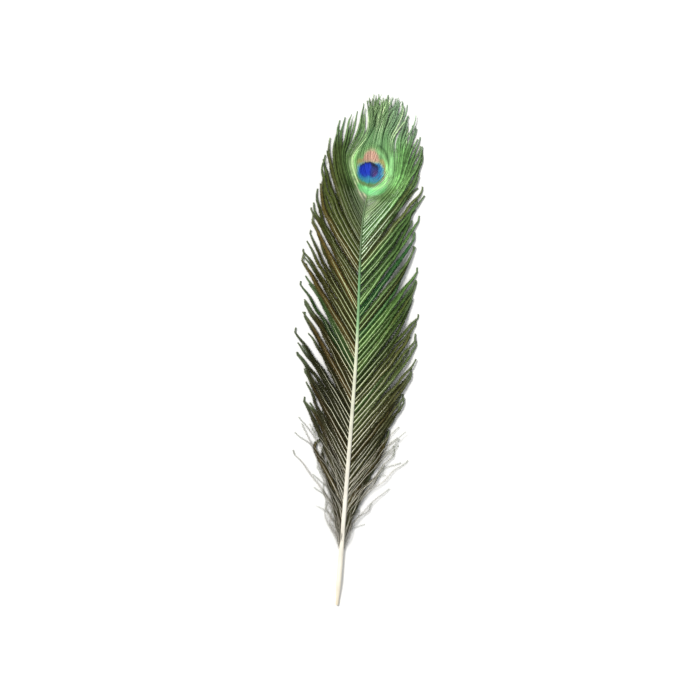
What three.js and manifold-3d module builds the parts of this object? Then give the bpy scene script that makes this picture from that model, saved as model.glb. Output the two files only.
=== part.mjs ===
// A peacock's eyed tail feather, lying face up: a bare quill, a shaft that thins towards the tip, loose
// barbs in locks down both sides, and the closed eye with the head's fan of barb tips round it.
// Millimetres, +Y from the quill's end to the tip, +Z up, with the surface that it lies on at z = 0.
// The origin is under the middle of the feather's own box.
import * as THREE from "three";
import { mergeVertices } from "three/addons/utils/BufferGeometryUtils.js";
import Module from "manifold-3d";

// Driving dimensions. Distances along the feather are measured from the quill's end.
const LENGTH = 300; // quill end to the ends of the fringe
const SHAFT_END = 264; // where the shaft runs out, inside the eye
const QUILL_WIDTH = 3.1; // the shaft's width at the top of the bare quill
const SHAFT_TIP_WIDTH = 0.7;
const QUILL_NOSE = 16; // the length over which the quill narrows to its end
const QUILL_NOSE_SHARE = 0.55; // the end's width as a share of the full width
const FOOT = 34; // the bare quill lies flat on the surface up to here

const ARCH = 4.5; // how far the shaft lifts off the surface between quill and eye
const EYE_LIFT = 1.0; // how far the shaft's underside is off the surface in the eye
const BOW = 2.8; // how far the shaft bows sideways, most of it just below the eye
const BOW_AT = 222;
const BOW_BELOW = 50; // how gently the bow starts
const BOW_ABOVE = 24; // and how quickly it ends

const EYE_START = 240; // the lowest barbs that run round the closed eye
const EYE_HALF_WIDTH = 12.8;
const EYE_SWING_LEFT = 26; // how far along a barb takes to swing out to its full width in the eye
const EYE_SWING_RIGHT = 13;
const EYE_SWING_MORE = 1.2; // and how much longer it takes for each millimetre that it starts below the eye
const EYE_CURVE = 1.7; // over 1, a barb starts steeply and ends nearly along the feather
const WRAP_START = 205; // barbs from here up give way to the eye, more and more
const PARTING = 240; // barbs from here up close in above the eye, apart from those below them
const PINCH = 0.42; // how much they close in, as a share of their width
const PINCH_FROM = 258;
const PINCH_TO = 281;
const PLATE_END = 280; // where the closed vane opens into the fringe
const PLATE_THICK = 1.0;

const HEAD_START = 200; // barbs from here up end on the head's round outline
const HEAD_HALF_WIDTH = 30;
const HEAD_CENTRE = 250; // the middle of that outline, a half ellipse that ends at the tip
const HEAD_CROWD = 1.25; // over 1, the ends crowd together towards the tip
const FAN_LENGTH = 26; // how long before its end a barb leaves the eye's shape for its place in the fan

const VANE_START = 36; // the lowest barbs
const VANE_HALF_WIDTH = 33;
const VANE_RISE = 50; // how far along a loose barb reaches forward
const VANE_CURVE = 1.45; // over 1, a barb leaves the shaft steeply and ends nearly along it, as in the head
const LOOSE_CURVE_LEFT = 0.95; // the same for the barbs lower down, which are nearly straight
const LOOSE_CURVE_RIGHT = 1.1;
const LOOSE_END = 165; // the straight ones end here
const CURVED_START = 225; // and from here up all are curved
const LOCK_BULGE = 1.2; // how far a lock bows up on its way down to the surface

const LOCKS = 29; // locks of loose barbs on each side
const LOCK_THICK = 0.9;
const LOCK_FILL = 0.84; // a lock's width as a share of the room that it has
const WRAP_FILL = 1.2; // and where it lies along the eye
const FRINGE_LOCKS = 6; // locks on each side of the fringe's middle one
const FRINGE_START = 272; // they come out of the closed vane from here
const FRINGE_FILL = 1.15;
const FRINGE_STEP = 0.14; // every second one lies this much higher, so that they cross cleanly
const TIDY = 0.02; // facets smaller than this are dropped from the joined solid

const smooth = (v) => THREE.MathUtils.smoothstep(v, 0, 1);
const mix = THREE.MathUtils.lerp;

// The shaft's sideways place: a bow to one side with a soft start and a quicker end.
const shaftX = (y) =>
  -BOW * Math.exp(-(((y - BOW_AT) / (y < BOW_AT ? BOW_BELOW : BOW_ABOVE)) ** 2));

// The underside of the shaft: flat under the quill, arched, and just clear of the surface in the eye.
function shaftUnder(y) {
  const along = THREE.MathUtils.clamp((y - FOOT) / (EYE_START - FOOT), 0, 1);
  return ARCH * Math.sin(Math.PI * along) ** 2 + EYE_LIFT * smooth(along);
}

function shaftWidth(y) {
  const taper = Math.max(0, 1 - y / SHAFT_END) ** 0.8;
  const nose = mix(QUILL_NOSE_SHARE, 1, smooth(y / QUILL_NOSE));
  return (SHAFT_TIP_WIDTH + (QUILL_WIDTH - SHAFT_TIP_WIDTH) * taper) * nose;
}

// The height of the feather's middle line: the shaft's, and past its end down to the surface.
function ridgeHeight(y) {
  const shaft = shaftUnder(y) + shaftWidth(y) / 2;
  return mix(shaft, LOCK_THICK / 2, smooth((y - SHAFT_END) / (LENGTH - SHAFT_END)));
}

// Where the barb that leaves the shaft at y0 ends: x to its side of the middle line, and y.
function barbTip(y0) {
  if (y0 >= HEAD_START) {
    const share = Math.max(0, SHAFT_END - y0) / (SHAFT_END - HEAD_START);
    const turn = (share ** HEAD_CROWD * Math.PI) / 2;
    const y = HEAD_CENTRE + (LENGTH - HEAD_CENTRE) * Math.cos(turn);
    return { x: HEAD_HALF_WIDTH * Math.sin(turn), y };
  }
  const foot = smooth((y0 - VANE_START + 22) / 85); // the lowest barbs are short
  const x = mix(HEAD_HALF_WIDTH, VANE_HALF_WIDTH * foot, smooth((HEAD_START - y0) / 60));
  return { x, y: y0 + VANE_RISE * mix(0.55, 1, smooth(y0 / 110)) };
}

// How closely a barb keeps to the eye's shape at y: fully in the eye, not at all far below it or in the fan.
function hold(y0, y) {
  const near = smooth((y0 - WRAP_START) / (EYE_START - WRAP_START));
  return near * smooth((barbTip(y0).y - y) / FAN_LENGTH);
}

// How far out a barb of the eye is at y: a swing out to its width, then some closing in above the eye.
function eyeOut(y0, side, y) {
  const width = (EYE_HALF_WIDTH * (SHAFT_END - y0)) / (SHAFT_END - EYE_START);
  const least = side < 0 ? EYE_SWING_LEFT : EYE_SWING_RIGHT;
  const length = least + EYE_SWING_MORE * Math.max(0, EYE_START - y0);
  const swing = 1 - Math.max(0, 1 - (y - y0) / length) ** EYE_CURVE;
  const close = PINCH * smooth((y - PINCH_FROM) / (PINCH_TO - PINCH_FROM));
  const apart = smooth((y0 - PARTING + 1) / 2);
  return width * swing * (1 - close * apart);
}

// A point of the barb that leaves the shaft at y0, where it has come as far along the feather as y.
function barbAt(y0, side, y) {
  const tip = barbTip(y0);
  const t = THREE.MathUtils.clamp((y - y0) / (tip.y - y0), 0, 1);
  const straight = side < 0 ? LOOSE_CURVE_LEFT : LOOSE_CURVE_RIGHT;
  const curve = mix(straight, VANE_CURVE, smooth((y0 - LOOSE_END) / (CURVED_START - LOOSE_END)));
  const loose = tip.x * (1 - (1 - t) ** curve);
  const held = hold(y0, y);
  const x = shaftX(y) + side * mix(loose, eyeOut(y0, side, y), held);
  const near = smooth((y0 - WRAP_START) / (EYE_START - WRAP_START));
  const bulge = LOCK_BULGE * (1 - near) * Math.sin(Math.PI * t);
  return new THREE.Vector3(x, y, mix(ridgeHeight(y0), LOCK_THICK / 2, t ** 0.9) + bulge);
}

// A closed surface through rings of equal point counts, with flat ends. Each ring runs the same way round.
function loft(rings) {
  const count = rings[0].length;
  const position = rings.flat().flatMap((p) => [p.x, p.y, p.z]);
  const index = [];
  for (let r = 0; r + 1 < rings.length; r++)
    for (let i = 0; i < count; i++) {
      const a = r * count + i;
      const b = r * count + ((i + 1) % count);
      index.push(a, b, b + count, a, b + count, a + count);
    }
  const last = (rings.length - 1) * count;
  for (let i = 1; i + 1 < count; i++) {
    index.push(0, i + 1, i);
    index.push(last, last + i, last + i + 1);
  }
  return new THREE.BufferGeometry()
    .setAttribute("position", new THREE.Float32BufferAttribute(position, 3))
    .setIndex(index);
}

// The shaft: an eight-sided section, a little taller than wide, with a flat underside to lie on.
function shaftGeometry() {
  const SECTION = [
    [-0.28, 0],
    [-0.5, 0.26],
    [-0.5, 0.7],
    [-0.26, 1],
    [0.26, 1],
    [0.5, 0.7],
    [0.5, 0.26],
    [0.28, 0],
  ];
  const STATIONS = [
    0, 5, 10, 16, 34, 48, 62, 76, 92, 108, 124, 140, 156, 172, 188, 202, 214, 224, 232, 240, 248, 256,
    SHAFT_END,
  ];
  return loft(
    STATIONS.map((y) =>
      SECTION.map(
        ([across, up]) =>
          new THREE.Vector3(
            shaftX(y) + across * shaftWidth(y),
            y,
            shaftUnder(y) + up * shaftWidth(y),
          ),
      ),
    ),
  );
}

// The eye's closed vane: a domed plate, as wide at each place as the barbs at the parting.
function plateGeometry() {
  const RINGS = 13;
  const ACROSS = [-1, -0.55, 0, 0.55, 1];
  const rings = [];
  for (let r = 0; r < RINGS; r++) {
    const y = mix(PARTING + 2.5, PLATE_END, r / (RINGS - 1));
    const middle = new THREE.Vector3(shaftX(y), y, ridgeHeight(y));
    const line = ACROSS.map((u) =>
      middle.clone().lerp(barbAt(PARTING, Math.sign(u) || 1, y), Math.abs(u)),
    );
    const thick = ACROSS.map((u) => (PLATE_THICK / 2) * (1 - 0.3 * u * u));
    const top = line.map((p, i) => p.clone().setZ(p.z + thick[i]));
    const under = line.map((p, i) => p.clone().setZ(p.z - thick[i])).reverse();
    rings.push([...under, ...top]);
  }
  return loft(rings);
}

// A lock: a flat blade of four sides round the barb that leaves the shaft at y0. It stands for the barbs
// within half a step on each side of it, so it is as wide as these are apart, and narrows to its end.
// from is where along the feather it comes out, and lift raises it.
function lockGeometry({ y0, side, step, fill, from = y0, lift = 0 }) {
  const SHARES = [0, 0.14, 0.3, 0.46, 0.62, 0.78, 0.9, 1];
  const neighbour = (at, y) =>
    at > SHAFT_END ? barbAt(2 * SHAFT_END - at, -side || -1, y) : barbAt(at, side || 1, y);
  const end = barbTip(y0).y;
  const rings = SHARES.map((share) => {
    const y = mix(from, end, share);
    const here = barbAt(y0, side, y);
    here.z += lift;
    const ahead = barbAt(y0, side, y + 0.5).sub(barbAt(y0, side, y - 0.5)).setZ(0).normalize();
    const sideways = new THREE.Vector3(ahead.y, -ahead.x, 0);
    const room = neighbour(y0 + step / 2, y).sub(neighbour(y0 - step / 2, y)).dot(sideways);
    const shape = mix(0.4, 1, smooth(share / 0.3)) * mix(1, 0.14, smooth((share - 0.35) / 0.65));
    const half = (Math.abs(room) * fill(y) * shape) / 2;
    const corner = (across, up) =>
      here
        .clone()
        .addScaledVector(sideways, half * across)
        .setZ(here.z + (up * LOCK_THICK) / 2);
    return [corner(-1, -1), corner(-0.9, 1), corner(0.9, 1), corner(1, -1)];
  });
  return loft(rings);
}

const wasm = await Module();
wasm.setup();

function solid(geometry) {
  const merged = mergeVertices(geometry, 1e-4);
  return new wasm.Manifold(
    new wasm.Mesh({
      numProp: 3,
      vertProperties: merged.attributes.position.array,
      triVerts: new Uint32Array(merged.index.array),
    }),
  );
}

function geometryOf(made) {
  const mesh = made.getMesh();
  return new THREE.BufferGeometry()
    .setAttribute("position", new THREE.BufferAttribute(mesh.vertProperties, mesh.numProp))
    .setIndex(new THREE.BufferAttribute(mesh.triVerts, 1));
}

// Both sides' locks, evenly from the lowest barbs to the parting, staggered from side to side.
function vaneLocks() {
  const step = (PARTING - VANE_START) / LOCKS;
  const locks = [];
  for (const side of [-1, 1])
    for (let i = 0; i < LOCKS; i++) {
      const last = i === LOCKS - 1;
      const y0 = VANE_START + step * (i + 0.5 + (last ? 0 : 0.2 * side));
      const fill = (y) => mix(LOCK_FILL, WRAP_FILL, hold(y0, y));
      locks.push(lockGeometry({ y0, side, step, fill }));
    }
  return locks;
}

// The fringe: locks that come out of the closed vane and spread to the tip.
function fringeLocks() {
  const step = (SHAFT_END - PARTING) / (FRINGE_LOCKS + 0.5);
  const locks = [];
  for (let i = -FRINGE_LOCKS; i <= FRINGE_LOCKS; i++) {
    const y0 = SHAFT_END - step * Math.abs(i);
    const lift = i % 2 ? FRINGE_STEP : 0;
    const fill = () => FRINGE_FILL;
    locks.push(
      lockGeometry({ y0, side: Math.sign(i), step, fill, from: FRINGE_START, lift }),
    );
  }
  return locks;
}

function featherGeometry() {
  const pieces = [shaftGeometry(), plateGeometry(), ...vaneLocks(), ...fringeLocks()];
  const joined = pieces.map(solid).reduce((whole, piece) => whole.add(piece));
  const geometry = geometryOf(joined.simplify(TIDY));
  geometry.computeBoundingBox();
  const middle = geometry.boundingBox.getCenter(new THREE.Vector3());
  return geometry.translate(-middle.x, -middle.y, -geometry.boundingBox.min.z);
}

const feather = new THREE.Mesh(
  featherGeometry(),
  new THREE.MeshStandardMaterial({ color: 0x4d7a3a, roughness: 0.45, metalness: 0.3 }),
);
feather.name = "feather";

const part = new THREE.Group();
part.add(feather);
export default part;
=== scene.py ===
"""A peacock's eyed tail feather, lying face up on a pale surface.

The shaft is one horn tube. Every barb is a thin strand that leaves the shaft, runs out and forward and
carries barbules down both flanks. Round the eye the barbs lie so close that they make a closed vane, and
past it they spread into a fan of small tufts. All shapes are worked out with numpy in millimetres, with y
measured from the quill's end and x from the feather's middle line, and put into the frame as metres.
"""
import math
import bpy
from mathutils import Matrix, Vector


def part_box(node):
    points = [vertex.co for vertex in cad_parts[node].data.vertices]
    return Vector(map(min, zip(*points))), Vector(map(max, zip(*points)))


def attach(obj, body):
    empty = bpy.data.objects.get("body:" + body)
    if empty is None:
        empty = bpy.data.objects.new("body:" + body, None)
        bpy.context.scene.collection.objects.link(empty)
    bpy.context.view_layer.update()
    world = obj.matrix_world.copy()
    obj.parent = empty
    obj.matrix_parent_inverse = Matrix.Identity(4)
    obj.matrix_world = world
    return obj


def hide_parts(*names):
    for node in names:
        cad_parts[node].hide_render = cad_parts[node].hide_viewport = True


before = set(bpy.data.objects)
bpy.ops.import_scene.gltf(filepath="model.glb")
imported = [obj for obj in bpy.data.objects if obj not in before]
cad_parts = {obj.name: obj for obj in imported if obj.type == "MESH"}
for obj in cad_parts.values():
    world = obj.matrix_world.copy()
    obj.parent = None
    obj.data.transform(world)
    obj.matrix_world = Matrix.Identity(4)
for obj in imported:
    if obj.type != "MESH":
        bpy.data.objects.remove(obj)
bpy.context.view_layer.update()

from types import SimpleNamespace

import bpy
import numpy as np
from mathutils import Vector

MM = 0.001
TURN = 2 * math.pi

# The feather's driving dimensions, the same as its solid's.
LENGTH = 300
SHAFT_END = 264
QUILL_WIDTH = 3.1
SHAFT_TIP_WIDTH = 0.7
QUILL_NOSE = 16
QUILL_NOSE_SHARE = 0.55
FOOT = 34
ARCH = 4.5
EYE_LIFT = 1.0
BOW = 2.8
BOW_AT = 222
BOW_BELOW = 50
BOW_ABOVE = 24
EYE_START = 240
EYE_HALF_WIDTH = 12.8
EYE_SWING_LEFT = 26
EYE_SWING_RIGHT = 13
EYE_SWING_MORE = 1.2
EYE_CURVE = 1.7
WRAP_START = 205
PARTING = 240
PINCH = 0.42
PINCH_FROM = 258
PINCH_TO = 281
HEAD_START = 200
HEAD_HALF_WIDTH = 30
HEAD_CENTRE = 250
HEAD_CROWD = 1.25
FAN_LENGTH = 26
VANE_START = 36
VANE_HALF_WIDTH = 33
VANE_RISE = 50
VANE_CURVE = 1.45
LOOSE_CURVE_LEFT = 0.95
LOOSE_CURVE_RIGHT = 1.1
LOOSE_END = 165
CURVED_START = 225
BARB_BULGE = 1.2
TIP_HEIGHT = 0.45

EYE_CENTRE = 256  # the middle of the eye's turquoise

# Barbs: where they leave the shaft, how far apart, and where one mesh gives way to the next.
FIRST_BARB = 38
LAST_BARB = SHAFT_END - 0.4
GAP_LOW = 3.7
GAP_BELOW_EYE = 2.2
GAP_EYE_FOOT = 1.0
GAP_EYE = 0.68
MESH_STARTS = [115, 175, EYE_START]
DOWN_FIRST = 30
DOWN_LAST = 76
DOWN_BARBS = 40

# Most barbs keep to their place. A few stray, by this many times as much as the rest.
STRAY_SHARE = 0.09
STRAY_LOW = 1.8
STRAY_HEAD = 3.2

UP = np.array([0.0, 0.0, 1.0])


def mix(a, b, t):
    return a + (b - a) * t


def smooth(v):
    v = np.clip(v, 0, 1)
    return v * v * (3 - 2 * v)


def bump(value, middle, width):
    """1 at the middle, falling away to 0 on both sides."""
    return np.exp(-(((value - middle) / width) ** 2))


# ---------------------------------------------------------------- the feather's own lines


def shaft_x(y):
    """The shaft's sideways place: a bell-shaped bow to one side, with a soft start and a quicker end."""
    width = np.where(y < BOW_AT, BOW_BELOW, BOW_ABOVE)
    return -BOW * np.exp(-(((y - BOW_AT) / width) ** 2))


def shaft_under(y):
    """The shaft's underside: flat under the quill, a squared sine arch, and a small lift in the eye."""
    along = np.clip((y - FOOT) / (EYE_START - FOOT), 0, 1)
    return ARCH * np.sin(np.pi * along) ** 2 + EYE_LIFT * smooth(along)


def shaft_width(y):
    """The shaft's width: a power taper to its end, narrowed again at the quill's nose."""
    taper = np.clip(1 - y / SHAFT_END, 0, 1) ** 0.8
    nose = mix(QUILL_NOSE_SHARE, 1, smooth(y / QUILL_NOSE))
    return (SHAFT_TIP_WIDTH + (QUILL_WIDTH - SHAFT_TIP_WIDTH) * taper) * nose


def ridge_height(y):
    """The height of the feather's middle line: the shaft's, and past its end down to the surface."""
    shaft = shaft_under(y) + shaft_width(y) / 2
    return mix(shaft, TIP_HEIGHT, smooth((y - SHAFT_END) / (LENGTH - SHAFT_END)))


def barb_tip(root):
    """Where a barb ends: x out from the middle line and y. The head's outline is a half ellipse, and
    below it the ends keep a fixed distance ahead of their roots, on an edge that starts narrow."""
    share = np.clip(SHAFT_END - root, 0, None) / (SHAFT_END - HEAD_START)
    turn = np.clip(share, 0, 1) ** HEAD_CROWD * np.pi / 2
    head_x = HEAD_HALF_WIDTH * np.sin(turn)
    head_y = HEAD_CENTRE + (LENGTH - HEAD_CENTRE) * np.cos(turn)
    foot = smooth((root - VANE_START + 22) / 85)
    side_x = mix(HEAD_HALF_WIDTH, VANE_HALF_WIDTH * foot, smooth((HEAD_START - root) / 60))
    side_y = root + VANE_RISE * mix(0.55, 1, smooth(root / 110))
    in_head = root >= HEAD_START
    return np.where(in_head, head_x, side_x), np.where(in_head, head_y, side_y)


def near_eye(root):
    """How far a barb gives way to the eye's shape: 0 well below it, 1 for the eye's own barbs."""
    return smooth((root - WRAP_START) / (EYE_START - WRAP_START))


def eye_out(root, side, y):
    """How far out a barb of the eye is at y: a swing to its width, then a closing in above the eye for the
    barbs inside the line where the vane parts, and less and less outside it."""
    width = EYE_HALF_WIDTH * (SHAFT_END - root) / (SHAFT_END - EYE_START)
    length = np.where(side < 0, EYE_SWING_LEFT, EYE_SWING_RIGHT)
    length = length + EYE_SWING_MORE * np.clip(EYE_START - root, 0, None)
    swing = 1 - np.clip(1 - (y - root) / length, 0, None) ** EYE_CURVE
    close = PINCH * smooth((y - PINCH_FROM) / (PINCH_TO - PINCH_FROM))
    apart = smooth((root - PARTING + 9) / 11)
    return width * swing * (1 - close * apart)


def barb_plan(root, side, share, spread=1.0):
    """A barb seen from above, at a share of its length: a power curve out from the shaft, mixed with the
    eye's shape where the barb keeps to it."""
    tip_x, tip_y = barb_tip(root)
    y = mix(root, tip_y, share)
    below = np.where(side < 0, LOOSE_CURVE_LEFT, LOOSE_CURVE_RIGHT)
    curve = mix(below, VANE_CURVE, smooth((root - LOOSE_END) / (CURVED_START - LOOSE_END)))
    loose = tip_x * spread * (1 - np.clip(1 - share, 0, None) ** curve)
    held = near_eye(root) * smooth((tip_y - y) / FAN_LENGTH)
    return shaft_x(y) + side * mix(loose, eye_out(root, side, y), held), y


def lies_close(b, share):
    """1 where a barb lies close in the eye's vane, 0 where it is loose."""
    y = barb_plan(b.root, b.side, share)[1]
    return near_eye(b.root) * smooth((barb_tip(b.root)[1] - y) / FAN_LENGTH)


def in_ribbons(b, share):
    """Where the close barbs are flat ribbons: from a little under the eye up. Below that they are
    round strands again, however close they lie."""
    y = barb_plan(b.root, b.side, share)[1]
    return lies_close(b, share) * smooth((y - EYE_CENTRE + 17 + 3 * b.side) / 5)


# ---------------------------------------------------------------- barbs as arrays


def make_barbs(roots, side, seed, join, group, sway, ripple, curl, spread, length, level, lift=1.2):
    """One entry per barb: its root on the shaft, the root of the barb that its tuft leans to, and its own
    small differences in length, spread, sideways sway and height. Loose barbs curl forward as they
    please, but outward by a millimetre at most."""
    rng = np.random.default_rng(seed)
    count = len(roots)
    sizes = rng.integers(group[0], group[1] + 1, count)
    tuft = np.searchsorted(np.cumsum(sizes), np.arange(count), side="right")
    total = np.bincount(tuft)
    middle = (np.bincount(tuft, roots) / np.maximum(total, 1))[tuft]
    per_tuft = rng.random((4, count))[:, tuft]
    own = rng.random((11, count))
    in_head = smooth((roots - 190) / 20)
    stray = np.where(own[10] > 1 - STRAY_SHARE, mix(STRAY_LOW, STRAY_HEAD, in_head), 1.0)
    tip_x, tip_y = barb_tip(roots)
    long = np.hypot(tip_x, tip_y - roots)
    wisp = 1 - smooth((roots - VANE_START) / 50)
    bend = stray * (curl * (1.4 * per_tuft[3] + 0.6 * own[9] - 1) + 5 * wisp * (own[9] - 0.5))
    most_out = mix(1.0, 9, np.maximum(wisp, in_head))
    lean_out = 7 * bump(roots, 240, np.where(roots < 240, 18, 5))
    return SimpleNamespace(
        root=roots,
        side=np.full(count, float(side)),
        mate=middle,
        join=mix(join[0], join[1], per_tuft[0]),
        join_from=mix(0.45, 0.85, per_tuft[1]),
        across_x=(tip_y - roots) / long,
        across_y=-side * tip_x / long,
        long=long,
        length=1 + (length + 0.15 * wisp) * (own[0] * 2 - 1),
        spread=1 + (spread + 0.3 * wisp) * (own[1] * 2 - 1) + 0.35 * wisp,
        lean=4 * smooth((roots - 222) / 14) + (side < 0) * lean_out,
        sway=(sway + 1.5 * wisp) * stray * (own[2] * 2 - 1),
        phase=TURN * own[3],
        ripple=(ripple + 0.6 * wisp) * own[7],
        ripple_phase=TURN * own[8],
        curl=side * np.minimum(side * bend, most_out),
        lift=lift * own[4] ** 3 + 0.6 * (stray - 1),
        level=level * (own[5] * 2 - 1),
        shade=own[6],
        tuft_shade=per_tuft[2],
        row=(np.arange(count) + 0.5) / count,
        rows=count,
    )


def some(barbs, index):
    """The same barbs, picked or shaped by an index."""
    picked = {k: v[index] for k, v in vars(barbs).items() if isinstance(v, np.ndarray)}
    return SimpleNamespace(**picked, rows=barbs.rows)


def course(b, share):
    """A barb's middle line at a share of its length. Towards its end it leans to its tuft, sways in a
    slow wave and a quick ripple, curls to one side, and comes down to the surface or lifts off it."""
    at = share * b.length
    x_own, y_own = barb_plan(b.root, b.side, at, b.spread)
    x_tuft, y_tuft = barb_plan(b.mate, b.side, at)
    pull = b.join * smooth((share - b.join_from) / (1 - b.join_from))
    out = np.clip(share, 0, None)
    wave = b.sway * out**1.5 * np.sin(3.5 * share + b.phase)
    wave = wave + b.ripple * out * np.sin(share * b.long * 0.42 + b.ripple_phase)
    wave = wave + b.curl * np.clip(share - 0.6, 0, None) ** 2 / 0.16
    wave = wave * (1 - 0.85 * lies_close(b, at))
    x = mix(x_own, x_tuft, pull) + wave * b.across_x
    y = mix(y_own, y_tuft, pull) + wave * b.across_y
    x = x + b.lean * smooth((y - 262) / 34)
    free = 1 - near_eye(b.root)
    down = np.clip(share, 0, 1) ** 0.9
    bulge = BARB_BULGE * free * np.sin(np.pi * np.clip(share, 0, 1))
    level = b.level * smooth(share / 0.15)
    z = mix(ridge_height(b.root), TIP_HEIGHT, down) + bulge + level + b.lift * down**2
    return np.stack([x, y, np.maximum(z, 0.2)], -1)


def unit(v):
    return v / np.linalg.norm(v, axis=-1, keepdims=True)


def course_frame(b, share):
    """The middle line with its heading, the direction to its right, and the one out of its top."""
    step = 0.004
    ahead = unit(course(b, share + step) - course(b, share - step))
    aside = unit(np.cross(ahead, UP))
    return course(b, share), ahead, aside, np.cross(aside, ahead)


# ---------------------------------------------------------------- colours


def linear(rgb):
    """Screen colours of 0 to 255 as linear light."""
    v = np.asarray(rgb, float) / 255
    return np.where(v <= 0.04045, v / 12.92, ((v + 0.055) / 1.055) ** 2.4)


def ramp(value, stops):
    """A colour that runs through stops, each (value, screen colour)."""
    at = [s[0] for s in stops]
    colours = linear([s[1] for s in stops])
    return np.stack([np.interp(value, at, colours[:, i]) for i in range(3)], -1)


def blend(under, over, share):
    return under + (over - under) * np.asarray(share)[..., None]


VANE_LEFT = [
    (36, (80, 74, 58)),
    (75, (78, 74, 54)),
    (105, (56, 54, 36)),
    (140, (72, 64, 32)),
    (170, (84, 84, 42)),
    (200, (84, 92, 44)),
    (222, (84, 100, 54)),
    (240, (104, 142, 84)),
    (264, (118, 150, 104)),
]
VANE_RIGHT = [
    (36, (84, 80, 60)),
    (75, (94, 92, 62)),
    (115, (104, 104, 60)),
    (140, (88, 122, 62)),
    (190, (92, 126, 70)),
    (205, (108, 142, 84)),
    (222, (126, 178, 106)),
    (240, (126, 182, 112)),
    (264, (118, 156, 106)),
]
RAMUS = [
    (36, (220, 216, 200)),
    (80, (232, 230, 210)),
    (130, (222, 222, 188)),
    (170, (196, 210, 158)),
    (205, (232, 238, 200)),
    (235, (224, 244, 196)),
    (264, (190, 220, 166)),
]
SHAFT = [
    (0, (226, 214, 188)),
    (14, (238, 232, 214)),
    (60, (238, 234, 222)),
    (104, (220, 218, 200)),
    (154, (208, 214, 186)),
    (165, (134, 176, 124)),
    (190, (98, 150, 98)),
    (206, (84, 108, 68)),
    (236, (84, 112, 68)),
]
BRONZE = (104, 80, 44)
EMERALD = (54, 122, 70)
TIP_DARK = (118, 136, 104)
GREEN_SHEEN = (0.35, 0.6, 0.2, 1)  # the loose barbules' highlights, as linear light


def vane_tint(b, share):
    """The loose barbules' colour: brown to olive to green up the feather, greener on the right, with
    bronze on some barbs and emerald on others, dark and dull at the ends."""
    colour = np.where(b.side[..., None] < 0, ramp(b.root, VANE_LEFT), ramp(b.root, VANE_RIGHT))
    middle = smooth((b.root - 90) / 40) * (1 - smooth((b.root - 180) / 30))
    emerald = middle * smooth(3 * (b.tuft_shade - 0.7) + 0.3 * b.side)
    colour = blend(colour, linear(EMERALD), 0.7 * emerald)
    bronze = smooth(3 * ((b.shade * 3) % 1 - 0.62)) * (1 - smooth((b.root - 190) / 50))
    colour = blend(colour, linear(BRONZE), 0.6 * bronze)
    head = smooth((b.root - 200) / 30)
    colour = colour * mix(mix(0.4, 0.8, head), 1.15, (b.shade * 7) % 1)[..., None]
    colour = colour * mix(1, mix(0.45, 1.35, b.tuft_shade), head)[..., None]
    return blend(colour, linear(TIP_DARK), 0.6 * smooth((share - 0.75) / 0.25))


def ramus_tint(b, share):
    """The strands' colour: pale beside the shaft, and towards the end the colour of their barbules."""
    pale = ramp(b.root, RAMUS) * mix(0.55, 1.2, (b.shade * 5) % 1)[..., None]
    green = smooth((b.root - 114) / 30) * (1 - smooth((b.root - 196) / 12)) * (b.side > 0)
    pale = blend(pale, pale * [0.68, 0.9, 0.62], green)
    cool = smooth((b.root - 196) / 12) * (1 - smooth((b.root - 222) / 10)) * (b.side > 0)
    pale = blend(pale, pale * [1.1, 1.22, 1.4], cool)
    left = 1 - 0.3 * smooth((b.root - 180) / 16) - 0.3 * smooth((b.root - 204) / 20)
    left = left - 0.15 * bump(b.root, 156, 18)
    right = 1 + 0.4 * bump(b.root, 225, 8) - 0.2 * smooth((b.root - 230) / 8)
    pale = pale * np.where(b.side < 0, left, right)[..., None]
    return blend(pale, vane_tint(b, share) * 1.6, 0.9 * smooth((share - 0.6) / 0.4))


def oval(x, y, centre, half_width, half_height, power=2.0):
    """Distance from a rounded oval's middle, 1 on its edge."""
    across = np.abs(x / half_width) ** power
    along = np.abs((y - centre) / half_height) ** power
    return (across + along) ** (1 / power)


def edge(distance, at, soft):
    """1 inside an edge and 0 outside, over a soft width."""
    return 1 - smooth((distance - at) / soft + 0.5)


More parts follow.
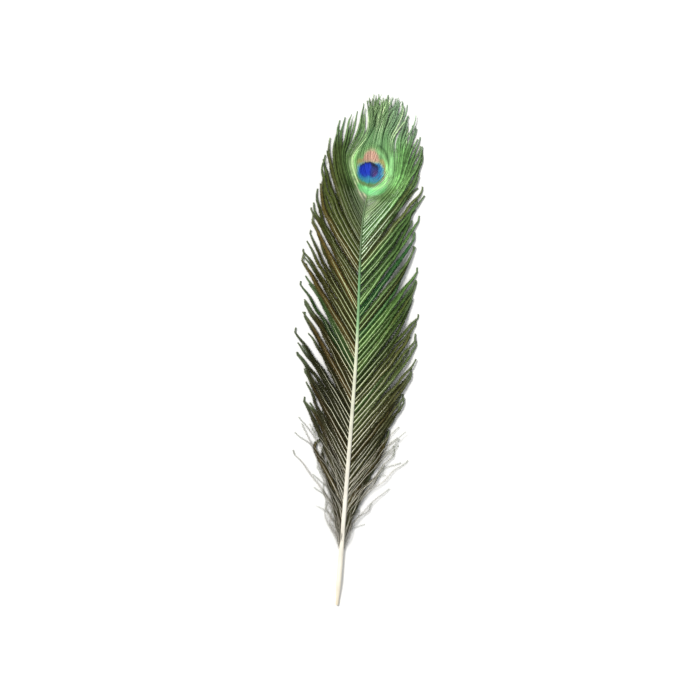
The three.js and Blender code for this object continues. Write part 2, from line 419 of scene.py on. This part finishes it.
def head_marks(colour, b, share, place, strand=False):
    """The head's colours laid over a barb's own, from the outside in. The fringe is grey and green by the
    barb, the barbs under the eye are sage on the right and dark on the left. Left of the eye, some barbs
    make pale lines and a mint band, and right of it there are a mint strip and a painted shadow: a dark arc
    where the barbs part.
    The eye's rings are ovals: a green halo, a mint crescent below, a mint ring on the right, gold,
    copper with a grey cap, turquoise, and the blue heart with its notch, navy at the top and plum on the
    right. Each barb's rings end a little before or after its neighbour's."""
    jitter = 0.04 * (b.shade - 0.5)
    x = place[..., 0]
    y = place[..., 1] - EYE_CENTRE + 0.5 * (b.tuft_shade - 0.5)
    left = b.side < 0

    fringe = smooth((y - 12) / 14)
    chance = (b.shade * 11) % 1
    grey = blend(linear((92, 126, 82)), linear((136, 166, 118)), smooth(chance / 0.5))
    grey = blend(grey, linear((138, 162, 142)), 0.6 * smooth((x - 4) / 8))
    grey = blend(grey, linear((216, 238, 192)), smooth((chance - 0.8) / 0.08))
    grey = grey * mix(1, 1.5, smooth((y - 28) / 8) * smooth((x + 4) / 6))[..., None]
    colour = blend(colour * mix(1, 1.25, fringe)[..., None], grey, 0.75 * fringe)
    over = smooth((y - 9) / 4) * (1 - smooth((y - 22) / 8)) * (1 - smooth((np.abs(x) - 6) / 5))
    colour = blend(colour, linear((80, 138, 82)), 0.45 * over)
    below = smooth((b.root - 216) / 8) * (1 - smooth((y + 12) / 6))
    sage = blend(linear((72, 92, 46)), linear((108, 136, 82)), b.tuft_shade)
    colour = blend(colour, sage, (0.7 - 0.5 * strand) * below * (x > -2))
    lit = smooth((x - 11) / 5) * smooth((b.root - 206) / 10) * (1 - smooth((y + 4) / 6))
    dim = smooth((b.root - 216) / 8) * (1 - smooth((y + 8) / 5)) * (x < -2)
    shadow = smooth((x - 12) / 2) * smooth((y + 8) / 4) * (1 - smooth((y - 12) / 8))
    shadow = shadow * ((b.shade * 13) % 1 < 0.3)
    colour = colour * (mix(1, 1.5, lit) * mix(1, 0.62 + 0.2 * strand, dim) * mix(1, 0.62, shadow))[..., None]

    inner = bump(b.root, 240.6, mix(0.8, 1.5, smooth((y + 6) / 8))) * (1 - smooth((y - 8) / 10))
    above = bump(b.root, 240.6, 0.5) + bump(b.root, 243.2, 0.5) + bump(b.root, 238.0, 0.5)
    above = above * smooth((y - 6) / 6) * (1 - smooth((y - 22) / 14))
    outer = bump(b.root, 237.6, 0.8) * (1 - smooth((y - 2) / 8))
    lines = left * np.maximum(np.maximum(inner, 0.8 * above), 0.8 * outer) * smooth((y + 18) / 4)
    pale = blend(linear((214, 246, 184)), linear((236, 236, 200)), 1 - smooth((y + 12) / 10))
    strip = (~left) * bump(x, 11.3, 1.3) * smooth((y + 3) / 3) * (1 - smooth((y - 9) / 4))
    # Painted shadow: a dark arc right of the eye, where the barbs of the eye's vane part.
    parting_shadow = bump(oval(x, np.maximum(y, 4), 4.0, 10.0, 12.6), 1.0, 0.05)
    parting_shadow = parting_shadow * (x > 0) * smooth((y + 5) / 5) * smooth((x - 1) / 3)

    halo = oval(x, y, 2.0, 11.6, 14.2) + jitter
    colour = blend(colour, linear((112, 154, 94)), 0.75 * edge(halo, 1.0, 0.25))
    band = left * bump(b.root, 242.0, 1.7) * smooth((y + 9) / 5) * (1 - smooth((y - 8) / 8))
    colour = blend(colour, linear((148, 226, 126)), 0.85 * band)
    colour = blend(colour, pale, lines)
    colour = blend(colour, linear((184, 248, 172)), strip)
    # Lays the painted parting shadow over the barbs.
    colour = blend(colour, linear((52, 92, 52)), 0.75 * parting_shadow)
    crescent = oval(x - 1.2, y, -8.4, 8.4, 5.2)
    mint = blend(linear((152, 240, 162)), linear((126, 208, 130)), smooth((np.abs(x) - 2) / 5))
    colour = blend(colour, mint, edge(crescent, 1.0, 0.3))
    ring = oval(x, y, 0.5, 9.2, np.where(y > 0.5, 12.0, 9.8), np.where(y > 0.5, 2.0, 2.8))
    ring_mint = blend(linear((188, 254, 168)), linear((142, 198, 132)), smooth((y - 4) / 5))
    colour = blend(colour, ring_mint, bump(ring, 1.02, 0.11) * smooth(x / 3) * (ring > 0.8))

    gold = oval(x + 0.5, y, 1.8, 8.6, np.where(y > 1.8, 9.6, 10.6), 2.4) + jitter
    brass = blend(linear((142, 178, 122)), linear((170, 158, 104)), smooth(x / 6))
    brass = blend(brass, linear((172, 168, 108)), smooth((y - 4.0) / 1.5) * (1 - smooth((y - 6.5) / 2)))
    brass = blend(brass, linear((128, 174, 114)), smooth((y - 6.8) / 2))
    brass = blend(brass, linear((116, 150, 92)), smooth((-3 - y) / 4))
    colour = blend(colour, brass, edge(gold, 1.0, 0.12))
    cap = oval(x + 0.7, y, 5.0, 5.4, 9.2) + 2 * jitter
    colour = blend(colour, linear((166, 172, 130)), 0.9 * edge(cap, 1.0, 0.25) * smooth((y - 8) / 3))
    copper = oval(x + 0.7, y, 5.0, 4.9, 7.6, 2.2) + 2 * jitter
    dome = blend(linear((206, 168, 148)), linear((172, 132, 112)), ((b.shade * 9) % 1) ** 2)
    dome = blend(dome, linear((168, 164, 128)), 0.7 * (1 - smooth((y - 5.8) / 2)))
    colour = blend(colour, dome, edge(copper, 1.0, 0.25))

    upper = y > 0
    turquoise = oval(x + 0.45, y, 0.0, 7.9, np.where(upper, 6.0, 6.7), np.where(upper, 3.4, 2.3)) + jitter
    blue = blend(linear((44, 122, 184)), linear((66, 148, 172)), smooth((-2.0 - y) / 3))
    blue = blend(blue, linear((110, 176, 186)), smooth((-x - 6.6) / 1.6))
    blue = blend(blue, linear((96, 176, 184)), smooth((x - 5.4) / 2))
    blue = blend(blue, linear((70, 166, 138)), smooth((turquoise - 0.86) / 0.12) * (y < -2))
    blue = blend(blue, linear((150, 182, 166)), smooth((turquoise - 0.84) / 0.1) * (y > 3))
    colour = blend(colour, blue, edge(turquoise, 1.0, 0.12))

    notch = 1.3 * np.exp(-(((x + 1.2) / 1.4) ** 2)) * (y < 1)
    heart = oval(x + 1.45, y - notch, 1.3, 5.7, 4.8, np.where(y > 1.3, 2.0, 2.3)) + jitter
    royal = blend(linear((30, 62, 190)), linear((34, 52, 122)), smooth((x + 1.4) / 2))
    royal = blend(royal, linear((40, 92, 160)), 0.7 * smooth((-0.4 - y) / 3) * (x < 0))
    royal = blend(royal, linear((88, 66, 128)), bump(x, 2.4, 1.3) * bump(y, -1.0, 2.4))
    navy = smooth((y - mix(4.5, 2.2, smooth((x + 1.5) / 3))) / 1.5)
    navy = np.maximum(navy, 0.9 * smooth((heart - 0.78) / 0.12) * smooth((y - 2.0) / 1.5))
    colour = blend(colour, blend(royal, linear((10, 18, 52)), navy), edge(heart, 1.0, 0.14))
    return colour


def barbule_tint(b, share, place):
    return head_marks(vane_tint(b, share), b, share, place)


def strand_tint(b, share, place):
    """A strand's colours: its own, and where it is a ribbon of the eye's vane its barbules'."""
    flat = smooth((b.root - 230) / 8)
    above = smooth((place[..., 1] - EYE_CENTRE) / 10) * smooth((b.root - 215) / 10)
    share_green = 0.8 * np.maximum(in_ribbons(b, share) * flat, above)
    own = blend(ramus_tint(b, share), vane_tint(b, share) * 1.2, share_green)
    return head_marks(own, b, share, place, strand=True)


# ---------------------------------------------------------------- surfaces


def strands(b, steps, half_width, half_height, tint, start=0.0, stop=1.0):
    """Closed four-sided strands along barbs: a diamond with its corners right, top, left and bottom of
    the middle line, carried from start to stop."""
    b = some(b, np.s_[:, None])
    share = np.linspace(start, stop, steps)[None, :] * np.ones((len(b.root), 1))
    middle, _, aside, top = course_frame(b, share)
    wide = half_width(b, share)[..., None] * aside
    high = half_height(b, share)[..., None] * top
    rings = np.stack([middle + wide, middle + high, middle - wide, middle - high], 2)
    count = len(b.root)
    first = (np.arange(count * steps) * 4).reshape(count, steps)
    a = first[:, :-1, None] + np.arange(4)
    c = first[:, :-1, None] + (np.arange(4) + 1) % 4
    sides = np.stack([a, a + 4, c + 4, c], -1).reshape(-1, 4)
    ends = np.concatenate([first[:, :1] + np.arange(4), first[:, -1:] + np.arange(4)[::-1]])
    colour = tint(b, share, middle)[:, :, None, :] * np.ones((1, 1, 4, 1))
    around = np.array([0.06, 0.2, 0.34, 0.44]) / b.rows
    v = (b.row - 0.5 / b.rows)[..., None] + around
    u = share[..., None] * np.ones(4)
    return surface(rings, np.concatenate([sides, ends]), colour, u, v * np.ones_like(u), 0)


def barb_lengths(b):
    line = course(some(b, np.s_[:, None]), np.linspace(0, 1, 24)[None, :])
    return np.linalg.norm(np.diff(line, axis=1), axis=-1).sum(1)


def barbules(b, seed, gap, reach, width, lean, tint, end_shade, start=0.004, stop=0.995):
    """Closed slender spikes down both flanks of barbs: each a triangle on the strand, drawn out to a
    point forward and to the side. gap is the mean distance between two on one flank."""
    rng = np.random.default_rng(seed)
    counts = np.maximum(4, (barb_lengths(b) * (stop - start) / gap).astype(int))
    which = np.repeat(np.arange(len(counts)), counts)
    order = np.arange(len(which)) - np.repeat(np.cumsum(counts) - counts, counts)
    which = np.tile(which, 2)
    order = np.tile(order, 2)
    flank = np.repeat([-1.0, 1.0], len(which) // 2)
    chance = rng.random((4, len(which)))
    share = start + (stop - start) * (order + 0.3 + 0.4 * chance[0]) / counts[which]
    each = some(b, which)
    middle, ahead, aside, top = course_frame(each, share)
    aside = aside * flank[:, None]
    angle = lean(each, share) * mix(0.82, 1.18, chance[1])
    heading = ahead * np.cos(angle)[:, None] + aside * np.sin(angle)[:, None]
    heading = heading + top * (0.3 * (chance[2] - 0.5))[:, None]
    long = reach(each, share) * mix(0.8, 1.15, chance[3])
    tip = middle + unit(heading) * long[:, None]
    tip[:, 2] = np.maximum(tip[:, 2], 0.05)
    half = ahead * width / 2
    corners = np.stack([middle - half, middle + half, middle + top * width * 0.4, tip], 1)
    first = np.arange(len(which))[:, None, None] * 4
    outward = np.array([[0, 2, 1], [0, 1, 3], [1, 2, 3], [2, 0, 3]])
    faces = first + np.where(flank[:, None, None] > 0, outward, outward[:, ::-1])
    shade = tint(each, share, middle) * mix(0.8, 1.2, chance[2])[:, None]
    # The spike's point is darkened by end_shade; in the loose vane this is painted shade in the gaps between
    # barbs.
    colour = np.stack([shade, shade, shade, shade * end_shade(each)[:, None]], 1)
    step = 0.4 / counts[which]
    u = np.stack([share - step, share + step, share, share], 1)
    v = (each.row - 0.5 / b.rows)[:, None] + np.array([0.55, 0.55, 0.68, 0.92]) / b.rows
    return surface(corners, faces.reshape(-1, 3), colour, u, v, 1)


def surface(places, faces, colour, u, v, finish):
    """One stretch of mesh: its points in mm, faces by point number, colours, bake map and finish."""
    flat = np.stack([np.clip(u, 0, 1).ravel(), np.clip(v, 0, 1).ravel()], -1)
    return SimpleNamespace(
        points=places.reshape(-1, 3),
        faces=faces,
        colour=colour.reshape(-1, 3),
        map=flat,
        finish=finish,
    )


def into_frame(points):
    """Feather millimetres as metres in the frame."""
    return (points + [quill_x, -LENGTH / 2, 0]) * MM


def make_piece(name, surfaces, finishes):
    """One mesh object from several surfaces, with its colours, its bake map and a finish for each face."""
    offset = np.cumsum([0] + [len(s.points) for s in surfaces])
    points = into_frame(np.concatenate([s.points for s in surfaces]))
    corners = np.concatenate([(s.faces + o).ravel() for s, o in zip(surfaces, offset)])
    sizes = np.concatenate([np.full(len(s.faces), s.faces.shape[1]) for s in surfaces])
    finish = np.concatenate([np.full(len(s.faces), s.finish) for s in surfaces])
    mesh = bpy.data.meshes.new(name)
    mesh.vertices.add(len(points))
    mesh.vertices.foreach_set("co", points.astype(np.float32).ravel())
    mesh.loops.add(len(corners))
    mesh.loops.foreach_set("vertex_index", corners.astype(np.int32))
    mesh.polygons.add(len(sizes))
    mesh.polygons.foreach_set("loop_start", (np.cumsum(sizes) - sizes).astype(np.int32))
    mesh.polygons.foreach_set("material_index", finish.astype(np.int32))
    mesh.update(calc_edges=True)
    tint = mesh.attributes.new("tint", "FLOAT_COLOR", "POINT")
    colours = np.concatenate([s.colour for s in surfaces])
    colours = np.concatenate([colours, np.ones((len(colours), 1))], 1)
    tint.data.foreach_set("color", colours.astype(np.float32).ravel())
    bake = mesh.uv_layers.new(name="OFBake")
    places = np.concatenate([s.map for s in surfaces])[corners]
    bake.data.foreach_set("uv", places.astype(np.float32).ravel())
    for material in finishes:
        mesh.materials.append(material)
    mesh.validate()
    piece = bpy.data.objects.new(name, mesh)
    bpy.context.scene.collection.objects.link(piece)
    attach(piece, "root")
    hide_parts("feather")
    return piece


# ---------------------------------------------------------------- finishes


def new_finish(name, **values):
    material = bpy.data.materials.new(name)
    material.use_nodes = True
    shader = material.node_tree.nodes["Principled BSDF"]
    for socket, value in values.items():
        shader.inputs[socket.replace("_", " ")].default_value = value
    return material, material.node_tree, shader


def add_node(tree, kind, links=(), **settings):
    """A node with its settings, and its inputs set to a number or joined to another node's output."""
    node = tree.nodes.new(kind)
    for key, value in settings.items():
        setattr(node, key, value)
    for socket, value in dict(links).items():
        if isinstance(value, bpy.types.NodeSocket):
            tree.links.new(value, node.inputs[socket])
        else:
            node.inputs[socket].default_value = value
    return node


def barb_finish(name, grain, contrast, **values):
    """The mesh's own tint, made lighter and darker by fine noise, with roughness that follows it."""
    material, tree, shader = new_finish(name, **values)
    tint = add_node(tree, "ShaderNodeAttribute", attribute_name="tint")
    place = add_node(tree, "ShaderNodeTexCoord")
    noise = add_node(
        tree, "ShaderNodeTexNoise", {"Vector": place.outputs["Object"], "Scale": grain, "Detail": 3.0}
    )
    value = add_node(
        tree,
        "ShaderNodeMapRange",
        {"Value": noise.outputs["Fac"], "From Min": 0.3, "From Max": 0.7,
         "To Min": 1 - contrast, "To Max": 1 + contrast},
    )
    shaded = add_node(
        tree,
        "ShaderNodeHueSaturation",
        {"Color": tint.outputs["Color"], "Value": value.outputs["Result"]},
    )
    rough = add_node(
        tree,
        "ShaderNodeMapRange",
        {"Value": noise.outputs["Fac"], "From Min": 0.3, "From Max": 0.7, "To Min": 0.32, "To Max": 0.5},
    )
    tree.links.new(shaded.outputs["Color"], shader.inputs["Base Color"])
    tree.links.new(rough.outputs["Result"], shader.inputs["Roughness"])
    return material


def shaft_finish():
    """Horn in the mesh's own tint, with fine streaks along it and a soft gloss."""
    material, tree, shader = new_finish("shaft_horn", Specular_IOR_Level=0.45)
    tint = add_node(tree, "ShaderNodeAttribute", attribute_name="tint")
    place = add_node(tree, "ShaderNodeTexCoord")
    stretch = add_node(
        tree, "ShaderNodeMapping", {"Vector": place.outputs["Object"], "Scale": (1.0, 0.03, 1.0)}
    )
    streaks = add_node(
        tree, "ShaderNodeTexNoise", {"Vector": stretch.outputs["Vector"], "Scale": 2600.0, "Detail": 4.0}
    )
    blotches = add_node(
        tree, "ShaderNodeTexNoise", {"Vector": place.outputs["Object"], "Scale": 120.0, "Detail": 3.0}
    )
    both = add_node(
        tree, "ShaderNodeMath", {0: streaks.outputs["Fac"], 1: blotches.outputs["Fac"]}, operation="ADD"
    )
    value = add_node(
        tree,
        "ShaderNodeMapRange",
        {"Value": both.outputs["Value"], "From Min": 0.7, "From Max": 1.3, "To Min": 0.84, "To Max": 1.06},
    )
    shaded = add_node(
        tree,
        "ShaderNodeHueSaturation",
        {"Color": tint.outputs["Color"], "Value": value.outputs["Result"]},
    )
    rough = add_node(
        tree,
        "ShaderNodeMapRange",
        {"Value": both.outputs["Value"], "From Min": 0.7, "From Max": 1.3, "To Min": 0.28, "To Max": 0.5},
    )
    bump_node = add_node(
        tree,
        "ShaderNodeBump",
        {"Height": streaks.outputs["Fac"], "Strength": 0.35, "Distance": 0.00006},
    )
    tree.links.new(shaded.outputs["Color"], shader.inputs["Base Color"])
    tree.links.new(rough.outputs["Result"], shader.inputs["Roughness"])
    tree.links.new(bump_node.outputs["Normal"], shader.inputs["Normal"])
    return material


# ---------------------------------------------------------------- pieces


def make_shaft():
    """A rounded section, a little taller than wide, with a flat foot under the quill and a groove along
    the underside above it. The quill's end turns in to a small pit. In the eye the shaft sinks into the
    vane and has its colours."""
    around = 24
    turn = np.arange(around) / around * TURN
    ahead = np.concatenate([np.linspace(0, QUILL_NOSE, 12)[1:], np.linspace(QUILL_NOSE, SHAFT_END, 190)[1:]])
    y = np.concatenate([[1.6, 1.2, 0.5, 0.1, 0.0, 0.12, 0.5], ahead])[:, None]
    inward = np.concatenate([[0.1, 0.24, 0.34, 0.42, 0.6, 0.8, 0.93], np.ones(len(ahead))])[:, None]
    inward = inward * mix(1, 0.35, smooth((y - SHAFT_END + 6) / 6))
    wave = 1 - 0.03 * np.sin(y * 0.31) ** 2 * np.sin(y * 0.083 + 1) ** 2
    half = shaft_width(y) / 2 * inward * wave
    in_eye = smooth((y - 236) / 8)
    power = 2.5
    round_x = np.sign(np.cos(turn)) * np.abs(np.cos(turn)) ** (2 / power)
    round_z = np.sign(np.sin(turn)) * np.abs(np.sin(turn)) ** (2 / power)
    groove = 0.34 * smooth((y - 44) / 30) * np.exp(-((round_x / 0.3) ** 2)) * (round_z < 0)
    x = shaft_x(y) + half * round_x
    z = shaft_under(y) + shaft_width(y) / 2 + half * mix(1, 0.3, in_eye) * (round_z + groove) - 0.25 * in_eye
    rings = np.stack([x, y * np.ones_like(x), z], -1)
    stations = len(y)
    first = (np.arange(stations - 1) * around)[:, None]
    a = first + np.arange(around)
    c = first + (np.arange(around) + 1) % around
    sides = np.stack([a, a + around, c + around, c], -1).reshape(-1, 4)
    u = np.linspace(0, 1, stations)[:, None] * np.ones(around)
    v = np.ones((stations, 1)) * (0.05 + 0.9 * np.abs(np.arange(around) / around * 2 - 1))
    even = np.full_like(y, 0.5)
    along = SimpleNamespace(root=y, side=even * 2, shade=even, tuft_shade=even)
    horn = ramp(y * np.ones_like(x), SHAFT)
    colour = blend(horn, head_marks(horn, along, 0 * x, rings), smooth((y - 234) / 5))
    skin = surface(rings, sides, colour, u, v, 0)
    cap = np.stack([np.arange(around), (stations - 1) * around + np.arange(around)[::-1]])
    ends = SimpleNamespace(points=np.zeros((0, 3)), faces=cap - len(skin.points),
                           colour=np.zeros((0, 3)), map=np.zeros((0, 2)), finish=0)
    piece = make_piece("shaft", [skin, ends], [shaft_finish()])
    piece.data.polygons.foreach_set("use_smooth", np.ones(len(piece.data.polygons), bool))
    return piece


def root_places(first, last, rng):
    """Places along the shaft from first to last, closer and closer together towards the eye, each a
    little off."""
    y = np.linspace(first, last, 2000)
    gap = mix(GAP_LOW, GAP_BELOW_EYE, smooth((y - 196) / 20))
    gap = mix(gap, GAP_EYE_FOOT, smooth((y - 220) / 8))
    gap = mix(gap, GAP_EYE, smooth((y - 237) / 4))
    passed = np.concatenate([[0], np.cumsum((y[1] - y[0]) / gap)[:-1]])
    places = np.interp(np.arange(0.5, passed[-1]), passed, y)
    return places + np.interp(places, y, gap) * 0.28 * (rng.random(len(places)) * 2 - 1)


def strand_width(b, share):
    """Half a strand's width: wide at the shaft and fine at its end, and a ribbon in the eye."""
    loose = mix(0.36, 0.07, smooth(share)) * mix(1, 0.6, near_eye(b.root) * smooth(2 * share - 1))
    flat = mix(0.22, 0.27, smooth((b.root - 230) / 6))
    fine = mix(loose * smooth(share / 0.04 + 0.4), 0.15, lies_close(b, share))
    return mix(fine, flat, in_ribbons(b, share))


def strand_height(b, share):
    return mix(mix(0.28, 0.08, smooth(share)), 0.11, in_ribbons(b, share))


def barbule_reach(b, share):
    """A barbule's length: long beside the shaft, shorter where the barbs come apart, shortest at the
    end, and half a millimetre where the barbs lie close in the eye."""
    opening = mix(1, 0.62, smooth((share - 0.4) / 0.4))
    ending = mix(1, 0.45, smooth((share - 0.75) / 0.25))
    loose = 2.6 * smooth((share + 0.02) / 0.05) * opening * ending
    head = 1.6 * mix(1, 0.22, smooth((share - 0.7) / 0.3))
    close = mix(1.4, 0.5, smooth((b.root - 226) / 10))
    return mix(mix(loose, head, near_eye(b.root)), close, lies_close(b, share))


def barbule_gap_shade(b):
    """A barbule's brightness at its end: dark in the loose vane, a painted shade that makes the gaps between
    barbs look shaded, and light in the eye.
    """
    return mix(0.66, 0.85, smooth((b.root - 210) / 22))


def barbule_lean(b, share):
    """The angle between a barbule and its strand."""
    return np.radians(mix(46, 34, lies_close(b, share)))


def make_vane(name, roots, side, seed, slot, steps):
    """The barbs at some places of the shaft on one side, as one mesh of strands and barbules."""
    near = np.clip((roots[0] - HEAD_START) / 30, 0, 1)
    b = make_barbs(
        roots,
        side,
        seed,
        join=(0.0, mix(0.7, 0.5, near)),
        group=(1 + int(near > 0), 5),
        sway=mix(1.8, 1.2, near),
        ripple=mix(0.5, 1.0, near),
        curl=mix(3.0, 2.4, near),
        length=mix(0.1, 0.07, near),
        spread=mix(0.08, 0.06, near),
        level=mix(0.25, 0.08, near),
    )
    ribbon = strands(b, steps, strand_width, strand_height, strand_tint)
    green = barbules(b, seed + 1, 0.1 + 0.1 * near, barbule_reach, mix(0.42, 0.35, near),
                     barbule_lean, barbule_tint, barbule_gap_shade)
    finishes = [ramus_finish, barbule_finish] if slot == "barbs" else [eye_strand_finish, eye_finish]
    return make_piece(name, [ribbon, green], finishes)


def down_width(b, share):
    return mix(0.12, 0.05, share)


def down_reach(b, share):
    return 2.2 * smooth((share + 0.02) / 0.1) * mix(1, 0.5, share)


def down_dark(b):
    return 0.7 + 0 * b.root


def make_down(name, side, seed):
    """Downy barbs at the vane's foot: thin strands in loose curls that spread wide, with fine sparse
    barbules."""
    rng = np.random.default_rng(seed)
    roots = np.sort(mix(DOWN_FIRST, DOWN_LAST, rng.random(DOWN_BARBS)))
    b = make_barbs(
        roots,
        side,
        seed + 1,
        join=(0.0, 0.0),
        group=(1, 1),
        sway=3.0,
        ripple=0.7,
        curl=4.0,
        spread=0.3,
        length=0.25,
        level=0.3,
        lift=2.5,
    )
    b.spread = b.spread * mix(2.1, 1.0, smooth((roots - 30) / 40))
    b.length = b.length * 0.8
    thread = strands(b, 30, down_width, down_width, strand_tint)
    fluff = barbules(b, seed + 2, 0.3, down_reach, 0.12, barbule_lean, barbule_tint, down_dark)
    return make_piece(name, [thread, fluff], [ramus_finish, down_finish])


def make_floor():
    size = 3.0
    mesh = bpy.data.meshes.new("floor")
    mesh.from_pydata(
        [(-size, -size, 0), (size, -size, 0), (size, size, 0), (-size, size, 0)], [], [(0, 1, 2, 3)]
    )
    floor = bpy.data.objects.new("floor", mesh)
    bpy.context.scene.collection.objects.link(floor)
    material, _, shader = new_finish("pale_surface", Roughness=0.7)
    shader.inputs["Base Color"].default_value = (0.86, 0.86, 0.85, 1)
    mesh.materials.append(material)


def add_area_light(name, place, target, size, power, colour):
    light = bpy.data.lights.new(name, "AREA")
    light.shape = "DISK"
    light.size = size
    light.energy = power
    light.color = colour
    lamp = bpy.data.objects.new(name, light)
    lamp.location = place
    heading = Vector(target) - Vector(place)
    lamp.rotation_euler = heading.to_track_quat("-Z", "Y").to_euler()
    bpy.context.scene.collection.objects.link(lamp)


def make_light():
    world = bpy.data.worlds.new("studio")
    world.use_nodes = True
    tree = world.node_tree
    seen = add_node(tree, "ShaderNodeLightPath")
    strength = add_node(
        tree, "ShaderNodeMapRange", {"Value": seen.outputs["Is Camera Ray"], "To Min": 0.36, "To Max": 0.9}
    )
    tree.nodes["Background"].inputs["Color"].default_value = (0.97, 0.98, 1.0, 1)
    tree.links.new(strength.outputs["Result"], tree.nodes["Background"].inputs["Strength"])
    bpy.context.scene.world = world
    add_area_light("key", (-1.8, 1.5, 3.0), (0, 0, 0), 1.35, 157, (1.0, 0.98, 0.95))
    add_area_light("fill", (2.1, -1.5, 2.7), (0, 0, 0), 2.7, 32, (0.95, 0.98, 1.0))


def make_camera():
    """Straight above, turned so that the feather leans a little to the right."""
    width_px, base_px, tip_px, middle_px = 700, (337, 605), (377, 98), (350, 344)
    right_px, up_px = tip_px[0] - base_px[0], base_px[1] - tip_px[1]
    mm_per_px = LENGTH / math.hypot(right_px, up_px)
    lean = math.atan2(right_px, up_px)
    across = (middle_px[0] - base_px[0]) * mm_per_px
    along = (base_px[1] - middle_px[1]) * mm_per_px
    x = across * math.cos(lean) - along * math.sin(lean)
    y = across * math.sin(lean) + along * math.cos(lean)
    height = 1.0
    data = bpy.data.cameras.new("camera")
    data.sensor_fit = "HORIZONTAL"
    data.angle = 2 * math.atan(width_px * mm_per_px * MM / 2 / height)
    camera = bpy.data.objects.new("camera", data)
    camera.location = (*into_frame(np.array([x, y, 0.0]))[:2], height)
    camera.rotation_euler = (0, 0, lean)
    bpy.context.scene.collection.objects.link(camera)
    bpy.context.scene.camera = camera


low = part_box("feather")[0]
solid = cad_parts["feather"].data
quill_end = [v.co.x for v in solid.vertices if v.co.y < low.y + 0.0001]
quill_x = sum(quill_end) / len(quill_end) / MM

ramus_finish = barb_finish("ramus_horn", 900.0, 0.12, Metallic=0.0, Specular_IOR_Level=0.6)
barbule_finish = barb_finish("barbule_green", 500.0, 0.3, Metallic=0.0, Specular_IOR_Level=0.3,
                             Specular_Tint=GREEN_SHEEN)
down_finish = barb_finish("down_fluff", 700.0, 0.2, Metallic=0.0, Specular_IOR_Level=0.15)
eye_strand_finish = barb_finish("eye_strand", 900.0, 0.1, Metallic=0.3, Specular_IOR_Level=0.3)
eye_finish = barb_finish("eye_sheen", 600.0, 0.14, Metallic=0.35, Specular_IOR_Level=0.3)

make_camera()
make_light()
make_floor()
make_shaft()
for side, word in ((-1, "left"), (1, "right")):
    seed = 40 + side * 20
    roots = root_places(FIRST_BARB, LAST_BARB, np.random.default_rng(seed))
    parts = np.split(roots, np.searchsorted(roots, MESH_STARTS))
    make_vane(f"barbs_{word}_low", parts[0], side, seed + 1, "barbs", 34)
    make_vane(f"barbs_{word}_middle", parts[1], side, seed + 3, "barbs", 34)
    make_vane(f"barbs_{word}_head", parts[2], side, seed + 5, "barbs", 44)
    make_vane(f"eye_{word}", parts[3], side, seed + 7, "eye", 56)
    make_down(f"down_{word}", side, seed + 9)

bpy.context.scene.view_settings.view_transform = "Standard"
bpy.context.view_layer.update()
